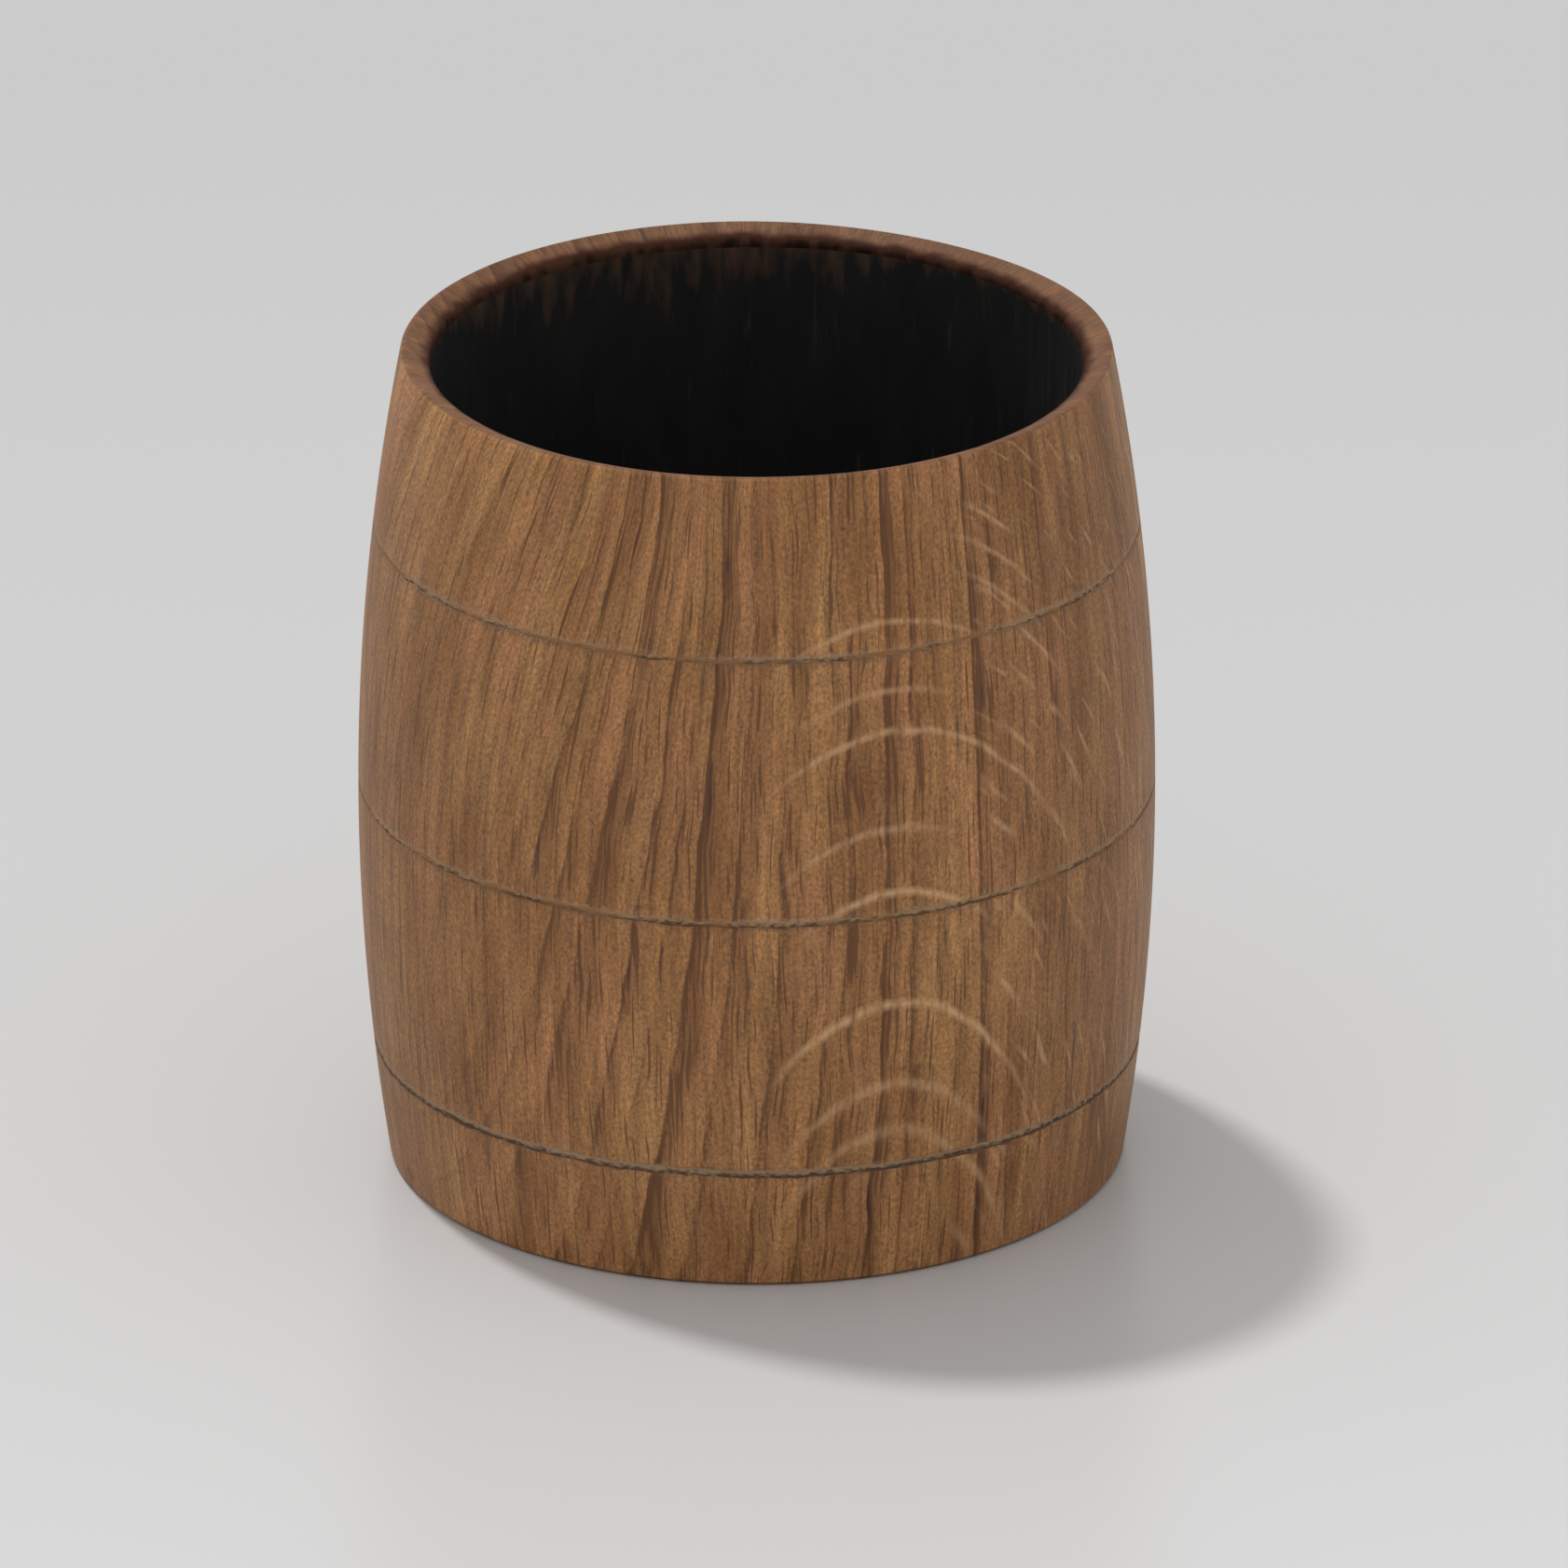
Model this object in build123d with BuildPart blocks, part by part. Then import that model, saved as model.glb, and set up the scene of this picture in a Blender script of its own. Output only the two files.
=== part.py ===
"""Barrel-shaped whisky cup, turned from one block of oak and charred inside.

The frame has +Z up along the turning axis, with its origin on the table under the middle of the foot.
The side wall is one turned shell, bored right through. A rebate is cut up into its foot, and a flat oak
head is pushed in from below until it meets the shoulder. Fire has blackened the inside of both, and a
bead of pitch seals the corner where they meet. Three lines are scored round the outside and scorched.
"""

import os
from math import radians, sqrt, tan

from build123d import *

# Outside of the barrel, in millimetres
height = 86.0  # table to the lip's outer edge, before that edge is softened
belly_diameter = 80.0  # widest outside
belly_height = 38.5  # where the outside is widest
bilge_radius = 250.0  # curve of the outside, seen from the side
foot_bevel = 0.4  # broken edge at the table

# Inside of the barrel
lip_thickness = 2.9  # wall at the mouth
lip_fall = 1.2  # how much lower the lip's inner edge is than its outer edge
lip_edge = 0.45  # softening of the outer edge
lip_roll = 1.0  # rounding where the lip turns down into the cup
foot_width = 3.0  # ring of end grain that stands on the table
floor_height = 8.0  # table to the floor of the cup

# Burnt layers
char_thickness = 0.8  # depth that fire has turned to char
bare_lip = 0.8  # clean oak from the lip's inner edge down to the char

# Head and its seat
head_recess = 1.5  # table to the underside of the head
seat_shoulder = 1.75  # width of the ledge that stops the head
head_clearance = 0.05  # glue line round the head
head_chamfer = 0.5  # lead-in on the edge that goes in first
seal_leg = 1.8  # how far the bead climbs the wall and covers the floor
seal_clearance = 0.04  # between the bead and the char on the wall

# Scored lines, from the lowest up
line_names = ("lower_scorch_line", "middle_scorch_line", "upper_scorch_line")
line_widths = (1.1, 0.9, 0.7)
lowest_line_height = 12.75
line_spacing = 27.4
line_angle = 90.0  # included angle of the scored groove
scorch_depth = 0.2  # burnt skin in the groove, measured towards the axis


def outer_radius(z):
    """Radius of the outside at height z: an arc that is upright at the belly."""
    return belly_diameter / 2 - bilge_radius + sqrt(bilge_radius**2 - (z - belly_height) ** 2)


# Heights and radii that follow from the values above
seat_height = floor_height - char_thickness
lip_height = height - lip_fall
char_top = lip_height - bare_lip
seat_radius = outer_radius(0) - foot_width
head_radius = seat_radius - head_clearance
throat_radius = seat_radius - seat_shoulder
mouth_radius = outer_radius(height) - lip_thickness
line_heights = [lowest_line_height + i * line_spacing for i in range(len(line_names))]


def inner_radius(z):
    """Radius of the inside at height z: a straight taper from the shoulder to the mouth."""
    share = (z - seat_height) / (height - seat_height)
    start = throat_radius - char_thickness
    return start + share * (mouth_radius - start)


def inside_point(z, setback):
    """Point on the inside at height z, set back into the wall."""
    return (inner_radius(z) + setback, z)


def scored_groove(z, width, lift):
    """Section of a scored groove. Lift moves its point off the bottom, and its open side clears the wood."""
    spread = tan(radians(line_angle / 2))
    depth = width / 2 / spread
    point = outer_radius(z) - depth + lift
    reach = 2 * depth
    return [
        (point, z),
        (point + reach, z + reach * spread),
        (point + reach, z - reach * spread),
    ]


# Turned side wall: bulged outside, lip that falls inwards, char's seat, shoulder and rebate, then the scored grooves
with BuildPart() as oak_wall:
    with BuildSketch(Plane.XZ) as section:
        with BuildLine():
            outside = ThreePointArc(*[(outer_radius(z), z) for z in (0, belly_height, height)])
            inside = Polyline(
                outside @ 1,
                inside_point(lip_height, 0),
                inside_point(char_top, 0),
                inside_point(char_top, char_thickness),
                (throat_radius, seat_height),
                (seat_radius, seat_height),
                (seat_radius, 0),
                outside @ 0,
            )
        make_face()
        fillet(section.vertices().group_by(Axis.Y)[-2], radius=min(lip_roll, 1.3 * bare_lip))
        fillet(section.vertices().group_by(Axis.Y)[-1], radius=lip_edge)
    revolve(axis=Axis.Z)
    foot_edge = oak_wall.edges().filter_by(GeomType.CIRCLE).group_by(Axis.Z)[0].sort_by(SortBy.RADIUS)[-1]
    chamfer(foot_edge, length=foot_bevel)
    with BuildSketch(Plane.XZ):
        for z, width in zip(line_heights, line_widths):
            with BuildLine():
                Polyline(*scored_groove(z, width, 0), close=True)
            make_face()
    revolve(axis=Axis.Z, mode=Mode.SUBTRACT)
oak_wall.part.label = "oak_wall"

# Burnt skin in each groove: the cut section, trimmed to the barrel's face, less the groove that stays open
scorch_lines = []
for name, z, width in zip(line_names, line_heights, line_widths):
    with BuildPart() as scorch_line:
        with BuildSketch(Plane.XZ):
            with BuildLine():
                Polyline(
                    (outer_radius(z - width), z - width),
                    (outer_radius(z + width), z + width),
                    (throat_radius, z + width),
                    (throat_radius, z - width),
                    close=True,
                )
            make_face()
            with BuildLine():
                Polyline(*scored_groove(z, width, 0), close=True)
            make_face(mode=Mode.INTERSECT)
            with BuildLine():
                Polyline(*scored_groove(z, width, scorch_depth), close=True)
            make_face(mode=Mode.SUBTRACT)
        revolve(axis=Axis.Z)
    scorch_line.part.label = name
    scorch_lines.append(scorch_line.part)

# Char on the inside of the wall, from the shoulder to just under the lip
with BuildPart() as wall_char:
    with BuildSketch(Plane.XZ):
        with BuildLine():
            Polyline(
                inside_point(seat_height, 0),
                inside_point(char_top, 0),
                inside_point(char_top, char_thickness),
                (throat_radius, seat_height),
                close=True,
            )
        make_face()
    revolve(axis=Axis.Z)
wall_char.part.label = "wall_char"

# Flat oak head, pushed up from below against the shoulder
with BuildPart() as bottom_head:
    with BuildSketch(Plane.XY.offset(head_recess)):
        Circle(head_radius)
    extrude(amount=seat_height - head_recess)
    chamfer(bottom_head.faces().sort_by(Axis.Z)[-1].edges(), length=head_chamfer)
bottom_head.part.label = "bottom_head"

# Char on top of the head, out to the char on the wall
with BuildPart() as floor_char:
    with BuildSketch(Plane.XZ):
        with BuildLine():
            Polyline(
                (0, seat_height),
                inside_point(seat_height, 0),
                inside_point(floor_height, 0),
                (0, floor_height),
                close=True,
            )
        make_face()
    revolve(axis=Axis.Z)
floor_char.part.label = "floor_char"

# Bead of pitch in the corner between floor and wall
with BuildPart() as seal_bead:
    with BuildSketch(Plane.XZ):
        with BuildLine():
            Polyline(
                inside_point(floor_height, -seal_leg),
                inside_point(floor_height, -seal_clearance),
                inside_point(floor_height + seal_leg, -seal_clearance),
                close=True,
            )
        make_face()
    revolve(axis=Axis.Z)
seal_bead.part.label = "seal_bead"

os.makedirs("parts", exist_ok=True)
pieces = [oak_wall.part, bottom_head.part, wall_char.part, floor_char.part, seal_bead.part, *scorch_lines]
for piece in pieces:
    export_step(piece, f"parts/{piece.label}.step")
print(f"foot {2 * outer_radius(0):.2f}, mouth {2 * mouth_radius:.2f}, throat {2 * throat_radius:.2f} mm")
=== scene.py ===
# %% [markdown]
# # A charred oak whisky cup in the shape of a barrel
#
# The cup is turned from one block of oak, burnt black inside and marked outside with three scorched lines that
# stand for hoops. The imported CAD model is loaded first, as a fixed frame in metres with +Z up. Each visible CAD
# solid then gets a finer mesh in the same place, and every surface gets a material made of nodes.

import math

import bmesh
import bpy
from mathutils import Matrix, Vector, noise


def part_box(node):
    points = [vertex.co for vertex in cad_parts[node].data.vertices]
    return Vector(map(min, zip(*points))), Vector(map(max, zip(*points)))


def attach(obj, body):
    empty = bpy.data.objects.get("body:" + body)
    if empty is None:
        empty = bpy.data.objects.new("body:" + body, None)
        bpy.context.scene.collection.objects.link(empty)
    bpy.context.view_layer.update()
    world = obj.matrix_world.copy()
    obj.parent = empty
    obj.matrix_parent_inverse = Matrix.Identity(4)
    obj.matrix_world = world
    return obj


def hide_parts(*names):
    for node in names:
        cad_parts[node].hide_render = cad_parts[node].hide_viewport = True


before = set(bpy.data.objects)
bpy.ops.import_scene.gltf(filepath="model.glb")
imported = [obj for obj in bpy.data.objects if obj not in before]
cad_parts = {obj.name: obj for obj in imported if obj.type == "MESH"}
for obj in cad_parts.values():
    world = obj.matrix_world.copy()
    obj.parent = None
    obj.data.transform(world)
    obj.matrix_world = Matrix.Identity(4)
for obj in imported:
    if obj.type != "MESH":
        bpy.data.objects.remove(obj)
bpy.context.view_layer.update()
MM = 0.001
print("CAD nodes:", ", ".join(sorted(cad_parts)))

# %% [markdown]
# ## The camera
#
# The photograph is almost free of perspective, so it was taken from far off with a long lens. A far camera with a
# narrow view gives the same nearly parallel sides. It looks down by a little over 22 degrees, and its aim is a few
# millimetres right of the cup's axis, because the cup stands left of the middle of the picture.

# %% Camera
LOOK_DOWN = math.radians(22.38)
CAMERA_REACH = 2352 * MM
AIM = Vector((2.73, 0.0, 38.8)) * MM
LENS, SENSOR = 538.0, 36.0

camera = bpy.data.objects.new("camera", bpy.data.cameras.new("camera"))
bpy.context.scene.collection.objects.link(camera)
camera.data.sensor_width = SENSOR
camera.data.lens = LENS
camera.data.clip_end = 20.0
camera.location = AIM + CAMERA_REACH * Vector((0.0, -math.cos(LOOK_DOWN), math.sin(LOOK_DOWN)))
camera.rotation_euler = (math.pi / 2 - LOOK_DOWN, 0.0, 0.0)
bpy.context.scene.camera = camera
print("camera stands at", [round(c, 3) for c in camera.location])

# %% [markdown]
# ## The shape of the barrel
#
# The outside is one arc, upright at the belly, and the inside is a straight taper. The lip falls towards the
# inside. These are the CAD's own sizes, written again in millimetres, so that every mesh below lies where its solid
# lies. Two differ by a hair: the belly is read from the frame, because the CAD's facets make it narrower than the
# true circle, and the lip's outer edge is rounded 0.01 mm more, which keeps it just inside the CAD model's height.

# %% Sizes
low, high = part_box("oak_wall")
BELLY_RADIUS = min(-low[0], -low[1], high[0], high[1]) / MM
HEIGHT = 86.0
BELLY_HEIGHT = 38.5
BILGE_RADIUS = 250.0
FOOT_BEVEL = 0.4
FOOT_WIDTH = 3.0
LIP_THICKNESS = 2.9
LIP_FALL = 1.2
LIP_HEIGHT = HEIGHT - LIP_FALL
LIP_EDGE = 0.46
LIP_ROLL = 1.0
CHAR = 0.8
BARE_LIP = 0.8
CHAR_TOP = LIP_HEIGHT - BARE_LIP
FLOOR_HEIGHT = 8.0
SEAT_HEIGHT = FLOOR_HEIGHT - CHAR
SEAT_SHOULDER = 1.75


def outer_radius(z):
    return BELLY_RADIUS - BILGE_RADIUS + math.sqrt(BILGE_RADIUS**2 - (z - BELLY_HEIGHT) ** 2)


SEAT_RADIUS = outer_radius(0) - FOOT_WIDTH
THROAT_RADIUS = SEAT_RADIUS - SEAT_SHOULDER
MOUTH_RADIUS = outer_radius(HEIGHT) - LIP_THICKNESS


def inner_radius(z):
    share = (z - SEAT_HEIGHT) / (HEIGHT - SEAT_HEIGHT)
    return THROAT_RADIUS - CHAR + share * (MOUTH_RADIUS - THROAT_RADIUS + CHAR)


print(f"belly {2 * BELLY_RADIUS:.2f}, foot {2 * outer_radius(0):.2f}, mouth {2 * MOUTH_RADIUS:.2f} mm across")

# %% [markdown]
# ## Turning on the lathe
#
# A turned piece is a profile spun about its axis. A few vertices joined by edges make the outline in the XZ plane.
# `cut_outline` cuts its edges beyond a given radius at given heights, so that they can be bent or pushed in later.
# A spin then makes the solid. One full spin in hundreds of steps is slow, because each step handles the whole mesh
# so far, so an eighth is spun first and then spun on as copies. Doubles are merged and the normals turned outwards.


# %% Outline and spin
def draw_outline(points):
    bm = bmesh.new()
    corners = [bm.verts.new((r, 0.0, z)) for r, z in points]
    for here, there in zip(corners, corners[1:] + corners[:1]):
        bm.edges.new((here, there))
    return bm, corners


def cut_outline(bm, heights, beyond):
    for z in heights:
        edges = [e for e in bm.edges if min(v.co.x for v in e.verts) > beyond]
        ends = list(dict.fromkeys(v for e in edges for v in e.verts))
        bmesh.ops.bisect_plane(bm, geom=edges + ends, dist=1e-5, plane_co=(0, 0, z), plane_no=(0, 0, 1))


def spin_outline(bm, steps):
    eighth = math.pi / 4
    outline = bm.verts[:] + bm.edges[:]
    bmesh.ops.spin(bm, geom=outline, axis=(0, 0, 1), angle=eighth, steps=steps // 8)
    sector = bm.verts[:] + bm.edges[:] + bm.faces[:]
    bmesh.ops.spin(bm, geom=sector, axis=(0, 0, 1), angle=7 * eighth, steps=7, use_duplicate=True)
    bmesh.ops.remove_doubles(bm, verts=bm.verts, dist=1e-4)
    bmesh.ops.recalc_face_normals(bm, faces=bm.faces)


# %% [markdown]
# The work is done in millimetres, so each finished mesh is scaled to metres. Faces are shaded smooth, except across
# edges that turn by more than 40 degrees.


# %% Finish a piece
SHARP_FROM = math.radians(40)


def finish_piece(bm, name, node):
    bmesh.ops.scale(bm, vec=(MM, MM, MM), verts=bm.verts)
    mesh = bpy.data.meshes.new(name)
    bm.to_mesh(mesh)
    bm.free()
    mesh.shade_smooth()
    mesh.set_sharp_from_angle(angle=SHARP_FROM)
    piece = bpy.data.objects.new(name, mesh)
    bpy.context.scene.collection.objects.link(piece)
    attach(piece, "root")
    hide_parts(node)
    print(f"{name}: {sum(len(face.vertices) - 2 for face in mesh.polygons)} triangles")
    return piece


# %% [markdown]
# ## How a scored line runs
#
# Each line was scored with a point and then burnt, and no stretch of it is like the next. It wanders, swells and
# fades, and its edges fray where it crosses hard and soft grain. Modelling this by hand would take hours, and
# smooth noise gives it at once: `patchy` reads noise on the cup's surface, with blotches of a given size in
# millimetres. `line_profile` is 1 in the middle of the line and 0 at its edges, and `groove_depth` turns it into a
# depth in millimetres, at any angle round the cup and any height off the line. The wall and the burnt skin both use
# it, so they stay together.

# %% Depth of a scored line
LINES = {"lower": (12.75, 1.1), "middle": (40.15, 0.9), "upper": (67.55, 0.7)}
LINE_BOLDNESS = {"lower": 1.1, "middle": 0.9, "upper": 0.8}
WANDER_SEEDS = {"lower": 3.0, "middle": 40.0, "upper": 71.0}
SWELL_SEEDS = {"lower": 5.0, "middle": 45.0, "upper": 75.0}
LONG_WANDER, SHORT_WANDER = 0.15, 0.06
GROOVE_SHARE = 0.38


def patchy(angle, z, size, seed):
    around = Vector((math.cos(angle), math.sin(angle), 0.0)) * BELLY_RADIUS
    return noise.noise((around + Vector((0.0, 0.0, z))) / size + Vector((0.0, 0.0, seed)))


def line_profile(name, angle, off):
    seed = WANDER_SEEDS[name]
    middle = LONG_WANDER * patchy(angle, 0.0, 9.0, seed) + SHORT_WANDER * patchy(angle, 0.0, 1.9, seed + 3)
    fray = 0.9 + 0.35 * patchy(angle, off, 1.4, seed + 6)
    half = 0.5 * LINES[name][1] * LINE_BOLDNESS[name] * fray
    return max(0.0, 1.0 - abs(off - middle) / half)


def groove_depth(name, angle, off):
    seed = SWELL_SEEDS[name]
    swell = min(1.0, max(0.1, 0.55 + 0.75 * patchy(angle, 0.0, 10.0, seed)))
    crumbs = 1.0 + 0.2 * patchy(angle, off, 1.2, seed + 8)
    return GROOVE_SHARE * LINES[name][1] * swell * crumbs * line_profile(name, angle, off) ** 0.7


print("lines at", [z for z, width in LINES.values()], "mm up")


# %% [markdown]
# ## The oak wall
#
# On the real cup this is the turned block: bulged outside, bored through, with a rebate below for the head. The
# outline starts from its corners. The long outer edge is cut into short steps, close together at the lines, and
# bent to the arc. A modifier could bend it too, but moving the points to a known radius keeps the mesh true to the
# CAD model.

# %% Outline of the wall
OUTSIDE_FROM = SEAT_RADIUS + 0.5
LINE_ZONE = 0.9
LINE_ROWS = [LINE_ZONE * (-1.0 + i / 6) for i in range(13)]
PLAIN_STEP = 2.0
PLAIN_CLEAR = 1.4
wall, corners = draw_outline(
    [
        (outer_radius(0) - FOOT_BEVEL, 0.0),
        (outer_radius(FOOT_BEVEL), FOOT_BEVEL),
        (outer_radius(HEIGHT), HEIGHT),
        (inner_radius(LIP_HEIGHT), LIP_HEIGHT),
        (inner_radius(CHAR_TOP), CHAR_TOP),
        (inner_radius(CHAR_TOP) + CHAR, CHAR_TOP),
        (THROAT_RADIUS, SEAT_HEIGHT),
        (SEAT_RADIUS, SEAT_HEIGHT),
        (SEAT_RADIUS, 0.0),
    ]
)
line_rows = [z + row for z, width in LINES.values() for row in LINE_ROWS]
steps_up = [PLAIN_STEP * i for i in range(1, 43)]
plain_rows = [up for up in steps_up if all(abs(up - z) > PLAIN_CLEAR for z, width in LINES.values())]
cut_outline(wall, line_rows + plain_rows, OUTSIDE_FROM)
for v in wall.verts:
    if v.co.x > OUTSIDE_FROM and v.co.z >= FOOT_BEVEL:
        v.co.x = outer_radius(v.co.z)
print("outline of the wall:", len(wall.verts), "corners")

# %% [markdown]
# The two corners of the lip are rounded with a vertex bevel. A bevel asks for the distance along the edges, so the
# wanted radius is turned into that from the corner's angle.

# %% Round the lip
for corner, rounding, segments in ((corners[2], LIP_EDGE, 6), (corners[3], LIP_ROLL, 8)):
    arms = [e.other_vert(corner).co - corner.co for e in corner.link_edges]
    reach = rounding / math.tan(arms[0].angle(arms[1]) / 2)
    bmesh.ops.bevel(
        wall, geom=[corner], offset=reach, affect="VERTICES", segments=segments, profile=0.5, material=-1
    )
    print(f"lip corner rounded to {rounding} mm")

# %% [markdown]
# After the spin, the points near each line are pushed in by the depth of the groove. The real lip is not quite
# level either: it is a third of a millimetre low at the back right, so its points sink there, most in the middle of
# the low stretch and less towards its ends.

# %% Spin the wall, score the lines and lower the lip
STEPS = 720
LIP_DIP = 0.33
LIP_DIP_SIDE = Vector((0.6, 0.8))
LIP_DIP_HALF = math.radians(50)
LIP_DIP_FROM = LIP_HEIGHT - 0.4
LIP_DIP_RISE = 1.4
spin_outline(wall, STEPS)
for v in wall.verts:
    from_axis = math.hypot(v.co.x, v.co.y)
    for name, (z, width) in LINES.items():
        if abs(v.co.z - z) < 1.0 and from_axis > OUTSIDE_FROM:
            depth = groove_depth(name, math.atan2(v.co.y, v.co.x), v.co.z - z)
            v.co.xy *= (from_axis - depth) / from_axis
for v in wall.verts:
    if v.co.z > LIP_DIP_FROM:
        away = Vector((v.co.x, v.co.y)).angle(LIP_DIP_SIDE) / LIP_DIP_HALF
        raised = min(1.0, (v.co.z - LIP_DIP_FROM) / LIP_DIP_RISE)
        v.co.z -= LIP_DIP * raised * math.cos(min(away, 1.0) * math.pi / 2) ** 2
oak_wall = finish_piece(wall, "turned_wall", "oak_wall")

# %% [markdown]
# ## The burnt skin in the lines
#
# The scorched wood in each groove is a thin, crumbly skin. It could be a stain on the wall alone, but on the cup it
# is a layer of its own. It is a ring with a rectangular outline, cut at the same heights as the wall, so that its
# face follows the bottom of the groove row by row. Noise lifts the face a little or lets it dive under the wood,
# and where it dives, the line breaks up, as it does on the cup.

# %% Skins in the lines
SKIN = 0.14
SKIN_BACK = 0.5
NEAR_BACK = 0.1
burnt_lines = []
for name, (z, width) in LINES.items():
    rows = [z + row for row in LINE_ROWS]
    back = outer_radius(z) - 0.5 * width - SKIN_BACK
    skin, corners = draw_outline(
        [(outer_radius(rows[0]), rows[0]), (outer_radius(rows[-1]), rows[-1]), (back, rows[-1]), (back, rows[0])]
    )
    cut_outline(skin, rows[1:-1], back + NEAR_BACK)
    spin_outline(skin, STEPS)
    for v in skin.verts:
        from_axis = math.hypot(v.co.x, v.co.y)
        if from_axis < back + NEAR_BACK:
            continue
        angle, off = math.atan2(v.co.y, v.co.x), v.co.z - z
        crumble = 0.35 * patchy(angle, off, 1.3, 90.0 + z)
        cover = 1.3 * line_profile(name, angle, off * 0.9) + crumble - 0.4
        wood = outer_radius(v.co.z)
        lifted = wood - groove_depth(name, angle, off) + SKIN * min(1.0, max(-1.0, cover))
        v.co.xy *= min(lifted, wood) / from_axis
    burnt_lines.append(finish_piece(skin, f"{name}_burnt_line", f"{name}_scorch_line"))

# %% [markdown]
# ## The char
#
# Inside, fire has eaten the soft spring growth deeper than the hard summer growth, so the char stands in fine
# upright ridges. They could be left to a bump in the material, but a real relief also shows where light grazes the
# wall, and it stays in the mesh. The lining is a thin closed shell. Its back lies against the oak, and its face is
# cut into short steps and pushed into the wall by stretched noise. The ridges die out under the lip, where the fire
# was weaker.

# %% Char on the wall
FACE_CUTS = 60
BURNT_IN, RIDGE = 0.12, 0.16
RIDGE_FADE = 3.0
lining, corners = draw_outline(
    [
        (THROAT_RADIUS - CHAR, SEAT_HEIGHT),
        (inner_radius(CHAR_TOP), CHAR_TOP),
        (inner_radius(CHAR_TOP) + CHAR, CHAR_TOP),
        (THROAT_RADIUS, SEAT_HEIGHT),
    ]
)
face_edge = [e for e in lining.edges if set(e.verts) == set(corners[:2])]
bmesh.ops.subdivide_edges(lining, edges=face_edge, cuts=FACE_CUTS)
spin_outline(lining, STEPS)
for v in lining.verts:
    from_axis = math.hypot(v.co.x, v.co.y)
    on_face = from_axis < inner_radius(v.co.z) + 0.1
    if on_face and SEAT_HEIGHT + 0.01 < v.co.z < CHAR_TOP - 0.01:
        ridge = noise.noise(Vector((v.co.x * 0.8, v.co.y * 0.8, v.co.z * 0.05)))
        below_lip = min(1.0, (CHAR_TOP - v.co.z) / RIDGE_FADE)
        v.co.xy *= (from_axis + (BURNT_IN + RIDGE * ridge) * below_lip) / from_axis
char_lining = finish_piece(lining, "charred_lining", "wall_char")

# %% [markdown]
# The floor is burnt too. It is the top of a flat board, whose grain lies level, so its ridges run across the cup.

# %% Char on the floor
FLOOR_STEPS = 240
FLOOR_BURNT_IN = 0.14
floor_edge = inner_radius(FLOOR_HEIGHT)
hearth, corners = draw_outline(
    [
        (0.0, SEAT_HEIGHT),
        (inner_radius(SEAT_HEIGHT), SEAT_HEIGHT),
        (floor_edge, FLOOR_HEIGHT),
        (0.0, FLOOR_HEIGHT),
    ]
)
top_edge = [e for e in hearth.edges if set(e.verts) == set(corners[2:])]
bmesh.ops.subdivide_edges(hearth, edges=top_edge, cuts=FACE_CUTS)
spin_outline(hearth, FLOOR_STEPS)
for v in hearth.verts:
    if v.co.z > FLOOR_HEIGHT - 0.01 and math.hypot(v.co.x, v.co.y) < floor_edge - 0.2:
        v.co.z -= FLOOR_BURNT_IN + RIDGE * noise.noise(Vector((v.co.x * 0.06, v.co.y * 0.8, 3.0)))
char_floor = finish_piece(hearth, "charred_floor", "floor_char")

# %% [markdown]
# ## The bead of pitch
#
# Pitch is poured warm into the corner and sets with a smooth, hollow, slightly lumpy face. The bead starts as a
# spun triangle whose edges are cut finer, and its face is then drawn into the corner by slow noise.

# %% Pitch bead
SEAL_LEG = 1.8
SEAL_CLEARANCE = 0.04
SEAL_HOLLOW, SEAL_LUMPS = 1.1, 0.5
bead, corners = draw_outline(
    [
        (floor_edge - SEAL_LEG, FLOOR_HEIGHT),
        (floor_edge - SEAL_CLEARANCE, FLOOR_HEIGHT),
        (inner_radius(FLOOR_HEIGHT + SEAL_LEG) - SEAL_CLEARANCE, FLOOR_HEIGHT + SEAL_LEG),
    ]
)
bmesh.ops.subdivide_edges(bead, edges=bead.edges[:], cuts=6)
spin_outline(bead, FLOOR_STEPS)
for v in bead.verts:
    from_axis = math.hypot(v.co.x, v.co.y)
    inward = (floor_edge - SEAL_CLEARANCE - from_axis) / SEAL_LEG
    upward = (v.co.z - FLOOR_HEIGHT) / SEAL_LEG
    if inward > 0.05 and upward > 0.05:
        hollow = (SEAL_HOLLOW + SEAL_LUMPS * noise.noise(v.co * 0.15)) * inward * upward
        v.co.xy *= (from_axis + hollow) / from_axis
        v.co.z -= hollow
pitch_bead = finish_piece(bead, "pitch_bead", "seal_bead")

# %% [markdown]
# ## Nodes and colours
#
# One function adds a node: plain values feed its inputs in order, `sockets` feeds inputs by name or number, and the
# settings follow by keyword. It works on the tree in hand and returns one output, ready to feed the next node. A
# second function turns a colour picked on screen, written as an sRGB hex value, into the linear values that shaders
# use.


# %% Helpers for materials
def linear(hex_colour):
    channels = [int(hex_colour[i : i + 2], 16) / 255 for i in (1, 3, 5)]
    return [c / 12.92 if c <= 0.04045 else ((c + 0.055) / 1.055) ** 2.4 for c in channels] + [1.0]


def new_material(name):
    material = bpy.data.materials.new(name)
    material.use_nodes = True
    material.node_tree.nodes.clear()
    return material


def add(kind, *values, out=0, sockets=None, **settings):
    node = tree.nodes.new(f"ShaderNode{kind}")
    for setting, value in settings.items():
        setattr(node, setting, value)
    for socket, value in [*enumerate(values), *(sockets or {}).items()]:
        if isinstance(value, bpy.types.NodeSocket):
            tree.links.new(value, node.inputs[socket])
        elif value is not None:
            node.inputs[socket].default_value = value
    return node.outputs[out] if node.outputs else node


def dress(piece, material):
    piece.data.materials.clear()
    piece.data.materials.append(material)
    print(f"{piece.name}: {material.name}, {len(material.node_tree.nodes)} nodes")


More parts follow.
